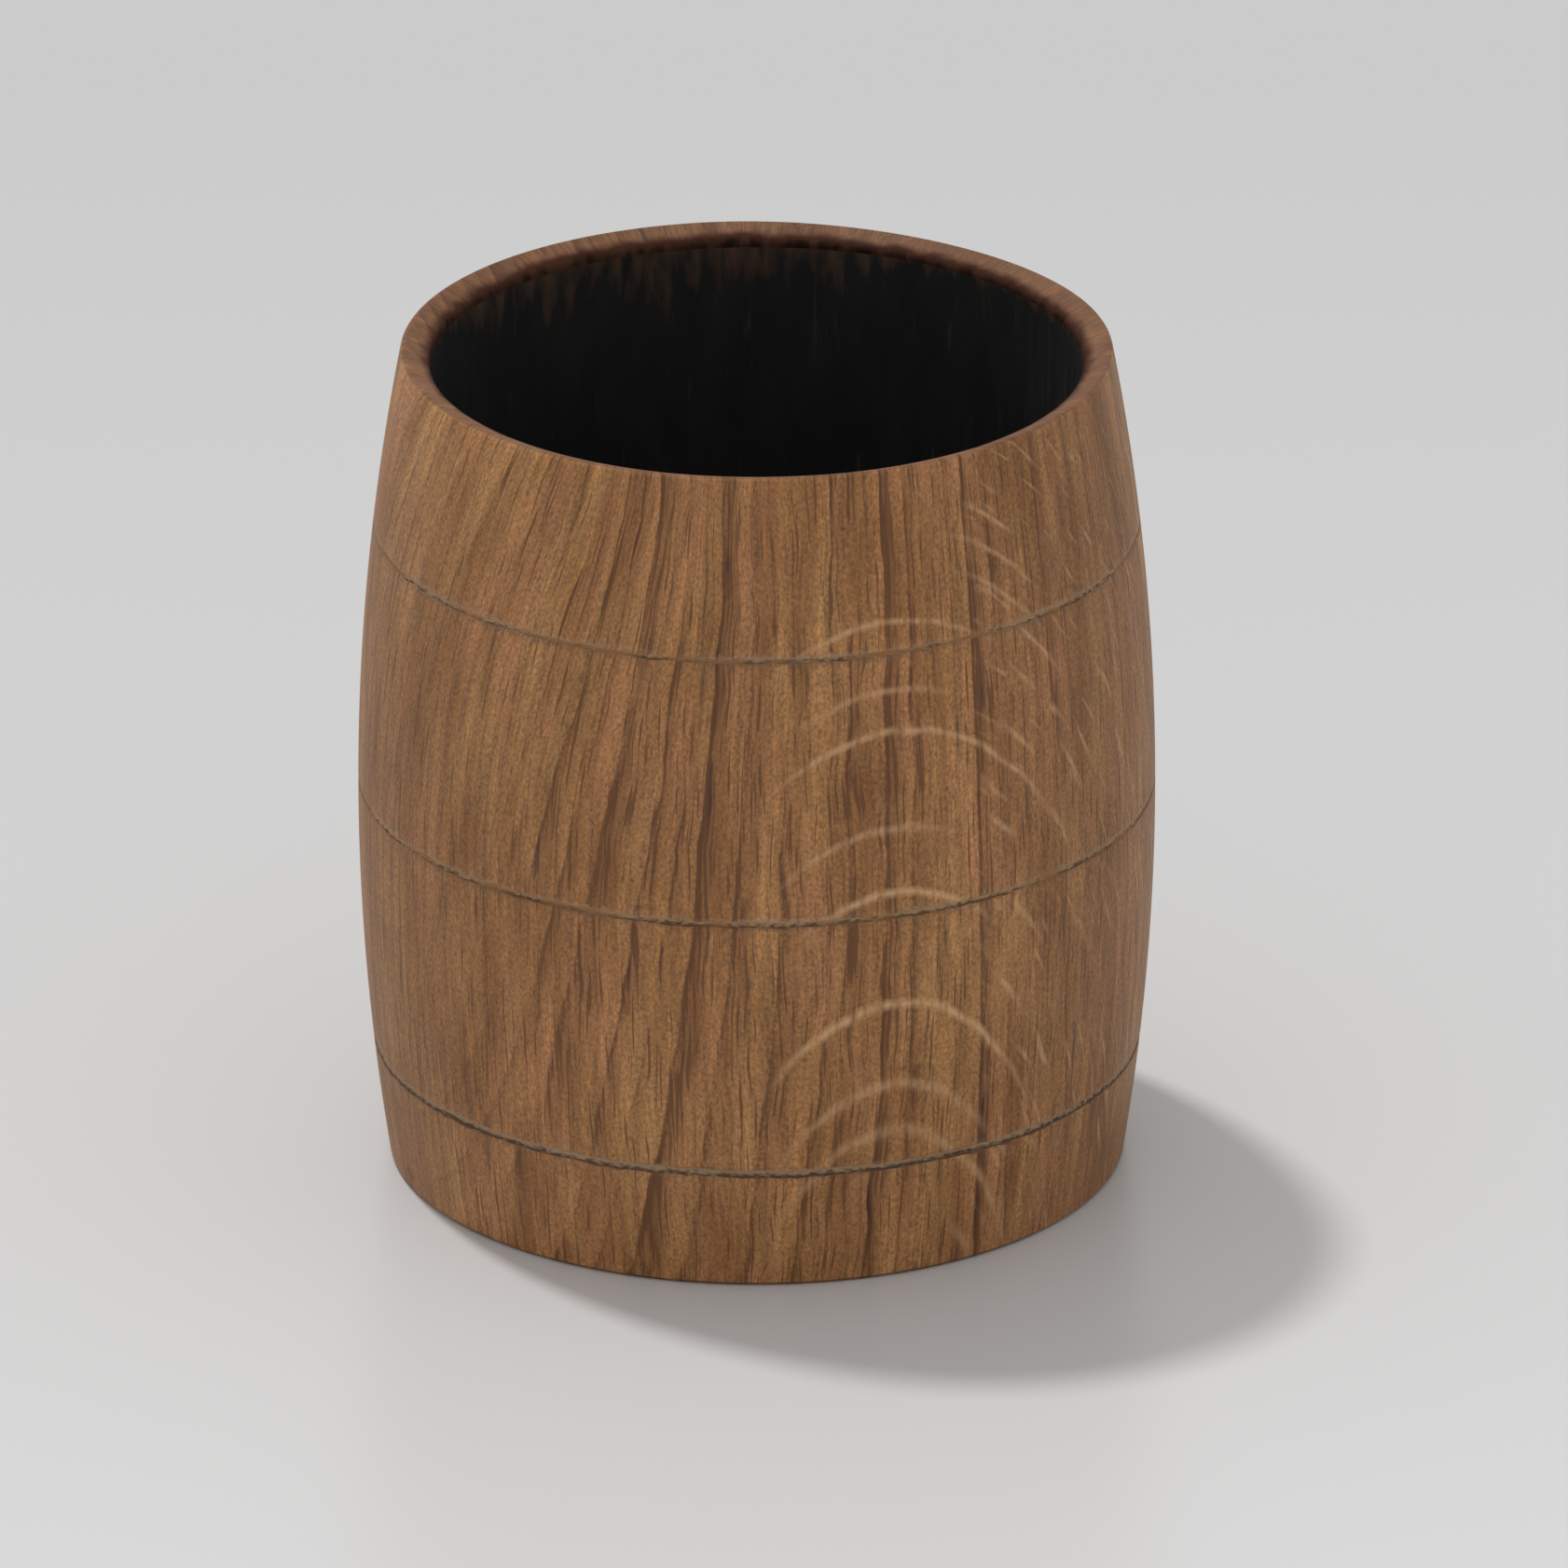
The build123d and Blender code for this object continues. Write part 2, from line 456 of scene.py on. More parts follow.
# %% [markdown]
# ## Oiled oak
#
# The block is oak, turned, sanded and oiled, so it is satin, with a grey sheen at the edges. Growth rings show as
# thin brown lines, because the porous spring wood starts suddenly each year. Rays, which run from the heart to the
# bark, show as pale curved flecks where the side of the cup is parallel to them, a little right of the middle. Both
# are built as they grow: as layers in the solid block, which the barrel's surface then cuts into lines and arcs.
#
# First come the block's own axes, in millimetres. *Across* runs along the rays, *behind* points into the wood at
# the ray flecks, and *along* runs up the trunk. Object coordinates are metres, so a Mapping node turns and scales
# them. `blotches` is noise whose blotches have a given size in millimetres along each axis, and `uneven` is the
# same noise about zero.

# %% Axes of the block
RAY_SIDE = math.radians(21.7)
TO_MM = (1000, 1000, 1000)
oak = new_material("oiled_oak")
tree = oak.node_tree
position = add("TexCoord", out="Object")
block = add("Mapping", position, None, (0, 0, -RAY_SIDE), TO_MM)
axes = add("SeparateXYZ", block).node.outputs
across, behind, along = axes["X"], axes["Y"], axes["Z"]


def blotches(vector, size, seed=0.0, detail=1.0):
    scaled = add("Mapping", vector, (seed, seed, seed), (0, 0, 0), [1.0 / length for length in size])
    return add("TexNoise", scaled, sockets={"Scale": 1.0, "Detail": detail})


def uneven(vector, size, seed=0.0, detail=1.0):
    return add("Math", blotches(vector, size, seed, detail), 0.5, operation="SUBTRACT")


print("rays face", round(math.degrees(RAY_SIDE), 1), "degrees right of the front")


# %% [markdown]
# ### Growth rings
#
# The rings fan out a little towards the foot. In the middle of the cup they sway and ripple, as wood does near a
# knot, and towards both sides they run straight. A ring texture would give perfect cylinders, so the distance
# across the block is bent by three sizes of noise instead.

# %% Distance across the rings
RING_FAN = 0.0038
FAN_MIDDLE = 4.0
FAN_HEIGHT = 40.0
SWAYS = (((18, 60, 30), 0.0, 1.2), ((6, 30, 10), 40.0, 1.4), ((1.2, 5, 4), 80.0, 0.4))
fan = add("Math", along, RING_FAN, 1.0 - FAN_HEIGHT * RING_FAN, operation="MULTIPLY_ADD")
from_middle = add("Math", across, FAN_MIDDLE, operation="SUBTRACT")
fanned = add("Math", from_middle, fan, FAN_MIDDLE, operation="MULTIPLY_ADD")
wild_left = add("MapRange", across, -36.0, -24.0, 0.25, 1.0, interpolation_type="SMOOTHSTEP")
wild_right = add("MapRange", across, -4.0, 8.0, 1.0, 0.2, interpolation_type="SMOOTHSTEP")
wild = add("Math", wild_left, wild_right, operation="MULTIPLY")
sways = 0.0
for size, seed, width in SWAYS:
    sways = add("Math", uneven(block, size, seed), width, sways, operation="MULTIPLY_ADD")
sways = add("Math", sways, wild, operation="MULTIPLY")
print("sizes of sway:", len(SWAYS))

# %% [markdown]
# On the left of the front the trunk grew with a twist, so above the belly rings and fibres lean over more and more.
# The fibres are drawn as if wrapped round the barrel, so that they follow its bulge: their noise is read on a
# cylinder of one radius, turned by the twist and the sway.

# %% Direction of the fibres
SPIRAL = -1.0e-4
STRAIGHT_UP_TO = 38.0
MEAN_RADIUS = 38.0
RING_SHARE = 0.7
flat = add("VectorMath", block, (1, 1, 0), operation="MULTIPLY")
outwards = add("VectorMath", flat, operation="NORMALIZE")
around = add("VectorMath", outwards, sockets={"Scale": MEAN_RADIUS}, operation="SCALE")
spiral = add("MapRange", across, -29.0, -10.0, SPIRAL, 0.0, interpolation_type="SMOOTHSTEP")
in_front = add("MapRange", behind, 14.0, -4.0, interpolation_type="SMOOTHSTEP")
spiral = add("Math", spiral, in_front, operation="MULTIPLY")
above_straight = add("MapRange", along, STRAIGHT_UP_TO, HEIGHT, 0.0, HEIGHT - STRAIGHT_UP_TO)
lean_turn = add("Math", add("Math", above_straight, 2.0, operation="POWER"), spiral, operation="MULTIPLY")
turn = add("Math", sways, 1.0 / MEAN_RADIUS, lean_turn, operation="MULTIPLY_ADD")
around = add("VectorRotate", around, sockets={"Angle": turn}, rotation_type="Z_AXIS")
upwards = add("CombineXYZ", 0.0, 0.0, along)
grain = add("VectorMath", around, upwards, operation="ADD")
leant = add("Math", lean_turn, RING_SHARE * MEAN_RADIUS, fanned, operation="MULTIPLY_ADD")
grain_across = add("Math", leant, sways, operation="ADD")
print(f"grain turns {math.degrees(SPIRAL * (HEIGHT - STRAIGHT_UP_TO) ** 2):.1f} degrees at the top left")

# %% [markdown]
# A curve turns the distance across the block into a count of years, with each ring where the cup shows it. The
# fraction of the count is the place within the year: 0 where spring wood starts. A colour ramp with constant steps
# holds each ring's strength, because no two years grew alike.

# %% Years
RINGS = (
    (-44.0, 0.5), (-41.5, 0.5), (-38.2, 0.5), (-36.3, 0.5), (-35.2, 0.4), (-33.6, 0.8), (-31.6, 0.8), (-29.4, 0.8),
    (-25.3, 0.6), (-23.0, 0.5), (-20.9, 1.0), (-17.2, 0.5), (-12.8, 0.5), (-8.3, 0.6), (-6.5, 0.5), (-2.4, 0.9),
    (0.5, 0.5), (3.2, 0.3), (5.8, 0.3), (8.1, 1.0), (11.2, 0.5), (13.6, 0.4), (16.0, 0.4), (18.2, 0.9),
    (21.1, 0.5), (23.5, 0.5), (26.7, 0.6), (29.4, 0.5), (32.0, 0.4), (35.0, 0.5), (38.0, 0.4), (42.0, 0.4),
)
first, last = RINGS[0][0], RINGS[-1][0]
years = len(RINGS) - 1
ring_place = add("MapRange", grain_across, first, last)
count_curve = add("FloatCurve", 1.0, ring_place).node
points = count_curve.mapping.curves[0].points
for year, (start, strength) in list(enumerate(RINGS))[1:-1]:
    points.new((start - first) / (last - first), year / years)
for point in points:
    point.handle_type = "VECTOR"
count_curve.mapping.update()
print("years of growth:", years)

# %% Season and strength of each ring
count = add("Math", count_curve.outputs[0], years, operation="MULTIPLY")
season = add("Math", count, operation="FRACT")
whole_year = add("Math", add("Math", count, operation="FLOOR"), 0.5, operation="ADD")
ring_table = add("ValToRGB", add("Math", whole_year, years + 1, operation="DIVIDE")).node
ring_table.color_ramp.interpolation = "CONSTANT"
stops = ring_table.color_ramp.elements
stops.remove(stops[1])
stops[0].color = [RINGS[0][1]] * 3 + [1.0]
for year, (start, strength) in list(enumerate(RINGS))[1:]:
    stops.new(year / (years + 1)).color = [strength] * 3 + [1.0]
print("rings with a strength:", len(stops))

# %% [markdown]
# ### Plain oak
#
# Everywhere the oak has mottled colour, strands, fibres and pores, all drawn out along the grain, and a fine
# speckle where the fibres are cut. Each is noise. The real fibres are ten times finer than drawn here, too fine to
# show at this size. The head is cut from the same wood, so this is a function of the direction of the grain.

# %% Plain oak
OAK_TAN = linear("#AF7F4E")
OAK_BROWN = linear("#946438")
OAK_ROSE = linear("#AE784E")
PORE_BROWN = linear("#653F22")


def plain_oak(grain):
    strands = blotches(grain, (0.9, 0.9, 15), 3.0, 2.0)
    fibres = blotches(grain, (0.28, 0.28, 6), 5.0)
    speckle = blotches(grain, (0.28, 0.28, 0.4), 7.0, 2.0)
    pore_rows = blotches(grain, (0.3, 0.3, 7), 8.0)
    mottle = add("MapRange", blotches(grain, (4, 4, 24), 21.0, 2.0), 0.35, 0.65)
    rose = add("MapRange", blotches(grain, (4, 4, 20), 25.0, 2.0), 0.45, 0.7, 0.0, 0.8)
    colour = add("Mix", mottle, sockets={6: OAK_BROWN, 7: OAK_TAN}, out=2, data_type="RGBA")
    colour = add("Mix", rose, sockets={6: colour, 7: OAK_ROSE}, out=2, data_type="RGBA")
    for pattern, low_tone, high_tone in ((strands, 0.77, 1.23), (fibres, 0.86, 1.14), (speckle, 0.6, 1.4)):
        tone = add("MapRange", pattern, 0.25, 0.75, low_tone, high_tone)
        colour = add("VectorMath", colour, sockets={"Scale": tone}, operation="SCALE")
    return colour, strands, fibres, speckle, pore_rows


colour, strands, fibres, speckle, pore_rows = plain_oak(grain)
print("nodes so far:", len(tree.nodes))

# %% [markdown]
# ### Spring wood
#
# Spring wood is dark because its wide pores hold oil and dust: a rough dark line, then a softer brown band with
# many pores. Each ring has its own strength, which also comes and goes along the trunk, and here and there a short
# streak is nearly black.

# %% Strength of the spring wood
comes_and_goes = add("MapRange", blotches(grain, (3, 3, 20), 11.0), 0.32, 0.66, 0.4, 1.3)
ring_strength = add("Math", ring_table.outputs[0], comes_and_goes, operation="MULTIPLY")
for from_side, to_side, least in ((-38.0, -27.0, 0.25), (20.0, 8.0, 0.5), (38.0, 30.0, 0.5)):
    side = add("MapRange", across, from_side, to_side, least, 1.0, interpolation_type="SMOOTHSTEP")
    ring_strength = add("Math", ring_strength, side, operation="MULTIPLY")
print("nodes so far:", len(tree.nodes))

# %% Lines, bands, pores and streaks
rise = add("MapRange", season, 0.0, 0.08, interpolation_type="SMOOTHSTEP")
fall = add("MapRange", season, 0.08, 0.26, 1.0, 0.0, interpolation_type="SMOOTHSTEP")
fade = add("MapRange", season, 0.1, 0.85, 1.0, 0.0, interpolation_type="SMOOTHSTEP")
onset = add("Math", rise, ring_strength, operation="MULTIPLY")
line = add("Math", onset, fall, operation="MULTIPLY")
band = add("Math", onset, fade, operation="MULTIPLY")
roughened = line
for pattern, share in ((strands, 1.0), (fibres, 0.9), (speckle, 0.7)):
    bite = add("Math", pattern, 0.5, operation="SUBTRACT")
    roughened = add("Math", bite, -share, roughened, operation="MULTIPLY_ADD")
spring_line = add("MapRange", roughened, 0.12, 0.9, 0.0, 0.85, interpolation_type="SMOOTHSTEP")
spring_band = add("Math", band, 0.75, operation="MULTIPLY")
pore_chance = add("Math", band, 0.15, pore_rows, operation="MULTIPLY_ADD")
pores = add("MapRange", pore_chance, 0.6, 0.72, 0.0, 0.8, interpolation_type="SMOOTHSTEP")
streak_spots = add("MapRange", blotches(grain, (1.1, 1.1, 8), 31.0), 0.62, 0.74, interpolation_type="SMOOTHSTEP")
streaks = add("Math", streak_spots, band, operation="MULTIPLY")
print("nodes so far:", len(tree.nodes))

# %% [markdown]
# The colours are laid over the plain oak from the broadest to the finest, as a painter would. First the plain oak
# is toned down on both sides of the cup: this is painted shade, standing for light falling off round the sides.

# %% Spring wood over plain oak
# Painted shade: both sides of the cup are darker in the colour itself, for light falling off round the sides.
for from_side, to_side, least in ((-39.0, -33.0, 0.84), (20.0, 4.0, 0.84)):
    tone = add("MapRange", across, from_side, to_side, least, 1.0, interpolation_type="SMOOTHSTEP")
    colour = add("VectorMath", colour, sockets={"Scale": tone}, operation="SCALE")
SPRING_BROWN = linear("#7E522E")
STREAK_DARK = linear("#452B27")
shades = ((spring_band, SPRING_BROWN), (spring_line, PORE_BROWN), (pores, PORE_BROWN), (streaks, STREAK_DARK))
for mask, shade in shades:
    colour = add("Mix", mask, sockets={6: colour, 7: shade}, out=2, data_type="RGBA")
print("layers of spring wood:", len(shades))

# %% [markdown]
# ### Ray flecks
#
# A ray is a thin sheet. The sheets lean, so the barrel cuts them into arches. Each main fleck is one sheet: its
# depth in the block, how far it reaches left and right, and how bright it is. A node for each would make a huge
# tree. A colour ramp over the depth holds them all instead, with brightness in red and the two ends in green and
# blue. A ramp has room for 32 stops, and a ray takes three, so the long and the short rays have one each. Smaller
# flecks are noise, thin in depth and long across.

# %% Ray sheets
RAY_LEAN = 0.286
RAY_SKEW = 0.026
LONG_RAYS = (
    (13.7, 7.5, 14.5, 0.7), (15.3, 8.5, 14.5, 0.7), (17.7, -9.5, 7.0, 0.75), (20.5, -9.0, 4.0, 0.65),
    (22.1, -11.5, 16.0, 0.85), (25.6, -11.0, 3.0, 0.7), (27.75, -8.5, 8.0, 0.95), (31.1, -12.0, 12.5, 1.0),
    (33.2, -10.5, 8.5, 0.7), (34.3, -11.5, 13.5, 0.6),
)
SHORT_RAYS = (
    (12.15, 8.5, 13.0, 0.9), (16.2, 14.0, 18.0, 0.8), (18.2, 13.0, 15.0, 0.7), (19.1, 19.0, 21.0, 0.7),
    (20.8, 11.5, 14.5, 0.8), (24.4, 9.5, 12.0, 0.8), (26.6, 12.0, 15.5, 0.7), (29.3, 10.0, 13.0, 0.7),
    (35.7, 6.4, 8.2, 0.7),
)
NEAREST, DEEPEST = 11.0, 37.0
RAY_WOBBLE = 0.35
lean = add("Math", along, -RAY_LEAN, operation="MULTIPLY")
lean = add("Math", across, -RAY_SKEW, lean, operation="MULTIPLY_ADD")
sheet = add("Math", lean, behind, operation="SUBTRACT")
wobble = uneven(block, (5, 5, 5), 70.0)
sheet = add("Math", wobble, RAY_WOBBLE, sheet, operation="MULTIPLY_ADD")
depth_share = add("MapRange", sheet, NEAREST, DEEPEST)
print("rays:", len(LONG_RAYS), "long and", len(SHORT_RAYS), "short")

# %% Ramps of rays
RAY_HALF = 0.19
REACH = 24.0
rays = 0.0
for group, taper in ((LONG_RAYS, 3.0), (SHORT_RAYS, 1.0)):
    ramp = add("ValToRGB", depth_share).node
    stops = ramp.color_ramp.elements
    stops[0].color = stops[1].color = (0, 0, 0, 1)
    for depth, left, right, bright in group:
        for offset, level in ((-RAY_HALF, 0.0), (0.0, bright), (RAY_HALF, 0.0)):
            stop = stops.new((depth + offset - NEAREST) / (DEEPEST - NEAREST))
            stop.color = (level, 0.5 + 0.5 * left / REACH, 0.5 + 0.5 * right / REACH, 1.0)
    brightness, left_end, right_end = add("SeparateColor", ramp.outputs[0]).node.outputs
    left_end = add("MapRange", left_end, 0.0, 1.0, -REACH, REACH)
    right_end = add("MapRange", right_end, 0.0, 1.0, -REACH, REACH)
    past_left = add("Math", across, left_end, operation="SUBTRACT")
    past_right = add("Math", right_end, across, operation="SUBTRACT")
    inside = add("Math", past_left, past_right, operation="MINIMUM")
    seen = add("Math", brightness, add("MapRange", inside, -taper, taper), operation="MULTIPLY")
    rays = add("Math", seen, rays, operation="MAXIMUM")
rays = add("Math", rays, add("MapRange", behind, 0.0, -10.0), operation="MULTIPLY")
print("nodes so far:", len(tree.nodes))

# %% Small flecks and the breaks in the rays
fleck_axes = add("CombineXYZ", across, sheet, along)
flecks = add("MapRange", blotches(fleck_axes, (4, 0.5, 8), 50.0), 0.62, 0.74, 0.0, 0.5)
fleck_right = add("MapRange", across, 6.0, 12.0, 0.15, 1.0)
flecks = add("Math", flecks, fleck_right, operation="MULTIPLY")
broken = add("MapRange", blotches(grain, (0.6, 0.6, 3), 90.0, 2.0), 0.3, 0.6, 0.25, 1.0)
rays = add("Math", add("Math", rays, flecks, operation="MAXIMUM"), broken, operation="MULTIPLY")
RAY_PALE = linear("#D6AA7C")
colour = add("Mix", rays, sockets={6: colour, 7: RAY_PALE}, out=2, data_type="RGBA")
print("nodes so far:", len(tree.nodes))

# %% [markdown]
# ### Scorch stains and painted highlight beside the lines
#
# Heat has stained the oak brown just below the scored lines, and the pale band above them is painted highlight,
# where the upper edge of each groove catches the light. The lines stand at even distances, so one Modulo node
# gives the height above or below the nearest of them, and noise frays it.

# %% Stains and painted highlight
LINE_SPACING = LINES["middle"][0] - LINES["lower"][0]
HALF_SPACING = LINE_SPACING / 2
STAIN_FRAY = 2.0


def from_nearest_line(height):
    shifted = add("Math", height, HALF_SPACING - LINES["lower"][0], operation="ADD")
    wrapped = add("Math", shifted, LINE_SPACING, operation="MODULO")
    return add("Math", wrapped, HALF_SPACING, operation="SUBTRACT")


fuzz = uneven(block, (0.5, 0.5, 0.35), 60.0, 3.0)
from_line = add("Math", fuzz, STAIN_FRAY, from_nearest_line(along), operation="MULTIPLY_ADD")
near_line = add("MapRange", add("Math", from_line, operation="ABSOLUTE"), 0.75, 0.15)
stretches = add("MapRange", blotches(block, (8, 8, 8), 35.0), 0.4, 0.6, 0.25, 0.75)
near_line = add("Math", near_line, stretches, operation="MULTIPLY")
# Brown below the line is scorch stain; the pale colour above it is painted highlight, for light caught by the
# groove's upper edge.
STAIN_DARK = linear("#6E5645")
PAINTED_HIGHLIGHT = linear("#A58A70")
above = add("MapRange", from_line, -0.1, 0.25)
stain_and_highlight = add("Mix", above, sockets={6: STAIN_DARK, 7: PAINTED_HIGHLIGHT}, out=2, data_type="RGBA")
colour = add("Mix", near_line, sockets={6: colour, 7: stain_and_highlight}, out=2, data_type="RGBA")
print("lines stand", round(LINE_SPACING, 2), "mm apart")

# %% [markdown]
# ### The lip
#
# The lip shows end grain, pinker and with less figure, because there the fibres are cut across. It is found by its
# normal, which points up. The inner half is burnt: a brown ring, then a nearly black one, both with a soft, wavy
# edge. The ring lies further out at the back and further in on the left, where brown patches are left unburnt.

# %% End grain of the lip
upright = add("SeparateXYZ", add("NewGeometry", out="Normal"), out="Z")
upright = add("Math", upright, operation="ABSOLUTE")
on_lip = add("MapRange", upright, 0.55, 0.92, 0.0, 0.65)
END_DARK, END_PINK = linear("#4C2C1A"), linear("#6B4430")
patches = blotches(block, (3, 3, 3), 80.0, 2.0)
patches = add("Math", patches, add("MapRange", behind, 5.0, 28.0, 0.0, 0.1), operation="SUBTRACT")
patches = add("MapRange", patches, 0.35, 0.65)
end_grain = add("Mix", patches, sockets={6: END_DARK, 7: END_PINK}, out=2, data_type="RGBA")
colour = add("Mix", on_lip, sockets={6: colour, 7: end_grain}, out=2, data_type="RGBA")
print("nodes so far:", len(tree.nodes))

# %% Burnt edge of the lip
BURNT_BROWN = (33.85, 32.8, "#44261A")
BURNT_BLACK = (33.0, 32.2, "#241610")
BURNT_WAVE = 1.2
from_axis = add("VectorMath", flat, operation="LENGTH", out="Value")
scorch_edge = uneven(block, (2.2, 2.2, 4), 65.0, 2.0)
from_axis = add("Math", scorch_edge, BURNT_WAVE, from_axis, operation="MULTIPLY_ADD")
at_back = add("MapRange", behind, 5.0, 28.0, 0.0, 0.2)
from_axis = add("Math", from_axis, at_back, operation="SUBTRACT")
to_left = add("MapRange", across, 10.0, -10.0, 0.0, 0.12)
from_axis = add("Math", to_left, 0.8, from_axis, operation="MULTIPLY_ADD")
near_top = add("MapRange", along, 70.0, 75.0)
for start, end, burnt_colour in (BURNT_BROWN, BURNT_BLACK):
    burnt = add("MapRange", from_axis, start, end, interpolation_type="SMOOTHSTEP")
    burnt = add("Math", burnt, near_top, operation="MULTIPLY")
    colour = add("Mix", burnt, sockets={6: colour, 7: linear(burnt_colour)}, out=2, data_type="RGBA")
spared = add("Math", blotches(block, (1.6, 1.6, 6), 4.0, 3.0), to_left, operation="ADD")
spared = add("Math", add("MapRange", spared, 0.45, 0.68, 0.0, 0.8), burnt, operation="MULTIPLY")
colour = add("Mix", spared, sockets={6: colour, 7: linear("#54392A")}, out=2, data_type="RGBA")
print("nodes so far:", len(tree.nodes))

# %% [markdown]
# ### Sheen
#
# Oil leaves a satin surface, rougher where the pores are open, and the pores are also a fine relief. End grain
# drinks the oil and is duller, and burnt wood has almost no sheen left.

# %% Oak surface
relief = add("Math", pore_rows, -1.0, fibres, operation="MULTIPLY_ADD")
bump = add("Bump", sockets={"Strength": 0.5, "Distance": 0.04 * MM, "Height": relief})
roughness = add("MapRange", fibres, 0.3, 0.7, 0.48, 0.62)
roughness = add("Math", add("MapRange", on_lip, 0.0, 0.5, 0.0, 0.68), roughness, operation="MAXIMUM")
roughness = add("Math", burnt, roughness, operation="MAXIMUM")
gloss = add("MapRange", from_axis, *BURNT_BROWN[:2], 0.35, 0.05)
oak_shader = add(
    "BsdfPrincipled",
    sockets={"Base Color": colour, "Roughness": roughness, "Normal": bump, "Specular IOR Level": gloss},
)
add("OutputMaterial", oak_shader)
dress(oak_wall, oak)

# %% [markdown]
# ## The head
#
# The head is a flat board of the same oak, let in from below, so its grain lies level. Turning the axes round lays
# the grain of the plain oak along X. Its open pores show as short dark dashes.

# %% Oak board
board = new_material("oak_board")
tree = board.node_tree
place = add("Mapping", add("TexCoord", out="Object"), None, (0, math.pi / 2, 0), TO_MM)
colour, strands, fibres, speckle, pore_rows = plain_oak(place)
pores = add("MapRange", pore_rows, 0.58, 0.72, 0.0, 0.8, interpolation_type="SMOOTHSTEP")
colour = add("Mix", pores, sockets={6: colour, 7: PORE_BROWN}, out=2, data_type="RGBA")
bump = add("Bump", sockets={"Strength": 0.5, "Distance": 0.04 * MM, "Height": fibres})
board_shader = add("BsdfPrincipled", sockets={"Base Color": colour, "Roughness": 0.6, "Normal": bump})
add("OutputMaterial", board_shader)
dress(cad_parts["bottom_head"], board)

# %% [markdown]
# ## Char
#
# Charcoal is a matt near-black. Under the lip, most of all at the back, the fire was weaker and brown wood shows
# through in upright streaks. They are noise, drawn out upwards, which has to pass a mark that rises with the depth
# below the lip, so that each streak ends in a tip.

# %% Brown streaks under the lip
WEAKEST_FIRE = (-0.0087, 0.0234, 0.0)
STREAK_REACH = (2.0, 9.0)
char = new_material("charred_oak")
tree = char.node_tree
block = add("Mapping", add("TexCoord", out="Object"), None, None, TO_MM)
height = add("SeparateXYZ", block, out="Z")
streaks = blotches(block, (1.6, 1.6, 6), 4.0, 3.0)
weak_side = add("VectorMath", block, WEAKEST_FIRE, operation="DOT_PRODUCT", out="Value")
reach_down = add("MapRange", weak_side, 0.45, 0.8, *STREAK_REACH)
below_top = add("Math", CHAR_TOP + 0.5, height, operation="SUBTRACT")
spared = add("Math", below_top, reach_down, operation="DIVIDE")
spared = add("MapRange", spared, 0.0, 1.0, 0.4, 0.0)
brown = add("MapRange", add("Math", streaks, spared, operation="ADD"), 0.72, 1.05, 0.0, 0.75)
print("streaks reach", STREAK_REACH, "mm down")

# %% [markdown]
# Lower down the fire was stronger: there the char is crazed into small blocks, with a bloom of grey ash. A Voronoi
# texture gives the blocks. Read as it is, it looks like leaded glass, so its coordinates are first made ragged by
# noise.

# %% Ash and cracks
deep = add("MapRange", height, 62.0, 20.0)
bloom = add("MapRange", blotches(block, (3.0, 3.0, 9), 9.0, 3.0), 0.35, 0.75, 0.0, 1.0)
ash = add("Math", bloom, add("Math", deep, 0.8, 0.2, operation="MULTIPLY_ADD"), operation="MULTIPLY")
colour = add("Mix", ash, sockets={6: linear("#1E1D1D"), 7: linear("#3E3A36")}, out=2, data_type="RGBA")
ragged = add("TexNoise", block, sockets={"Scale": 1 / 1.5, "Detail": 3.0}, out="Color")
ragged = add("VectorMath", ragged, sockets={"Scale": 2.2}, operation="SCALE")
blocks = add("Mapping", add("VectorMath", block, ragged), None, None, (1 / 4.5, 1 / 3.0, 1 / 6.0))
seam = add("TexVoronoi", blocks, sockets={"Scale": 1.0}, feature="DISTANCE_TO_EDGE")
crack = add("MapRange", seam, 0.0, 0.1, 0.8, 0.0, interpolation_type="SMOOTHSTEP")
crack = add("Math", crack, deep, operation="MULTIPLY")
colour = add("Mix", crack, sockets={6: colour, 7: linear("#0C0B0A")}, out=2, data_type="RGBA")
print("nodes so far:", len(tree.nodes))

# %% [markdown]
# A few grey scrapes run down the wall, where something has rubbed the char. The surface is matt, with fine upright
# ridges and sunken cracks as a relief.

# %% Scrapes and surface of the char
scrapes = blotches(block, (1.2, 1.2, 9), 14.0, 3.0)
scrapes = add("MapRange", scrapes, 0.62, 0.76, 0.0, 0.8)
colour = add("Mix", scrapes, sockets={6: colour, 7: linear("#393734")}, out=2, data_type="RGBA")
colour = add("Mix", brown, sockets={6: colour, 7: linear("#5C4330")}, out=2, data_type="RGBA")
ridges = blotches(block, (0.4, 0.4, 2.5), 2.0, 3.0)
relief = add("Math", crack, -1.0, ridges, operation="MULTIPLY_ADD")
bump = add("Bump", sockets={"Strength": 0.6, "Distance": 0.15 * MM, "Height": relief})
char_shader = add(
    "BsdfPrincipled",
    sockets={"Base Color": colour, "Roughness": 0.8, "Normal": bump, "Specular IOR Level": 0.2},
)
add("OutputMaterial", char_shader)
dress(char_lining, char)
dress(char_floor, char)

# %% [markdown]
# ## Scorched lines
#
# The scorched skin is brown below the line, and above it a pale band of painted highlight stands for light caught
# by the groove's upper edge, as on the wall; the two meet in a ragged edge. The two upper lines were burnt less, so
# they are paler, and in places they fade into the oak.

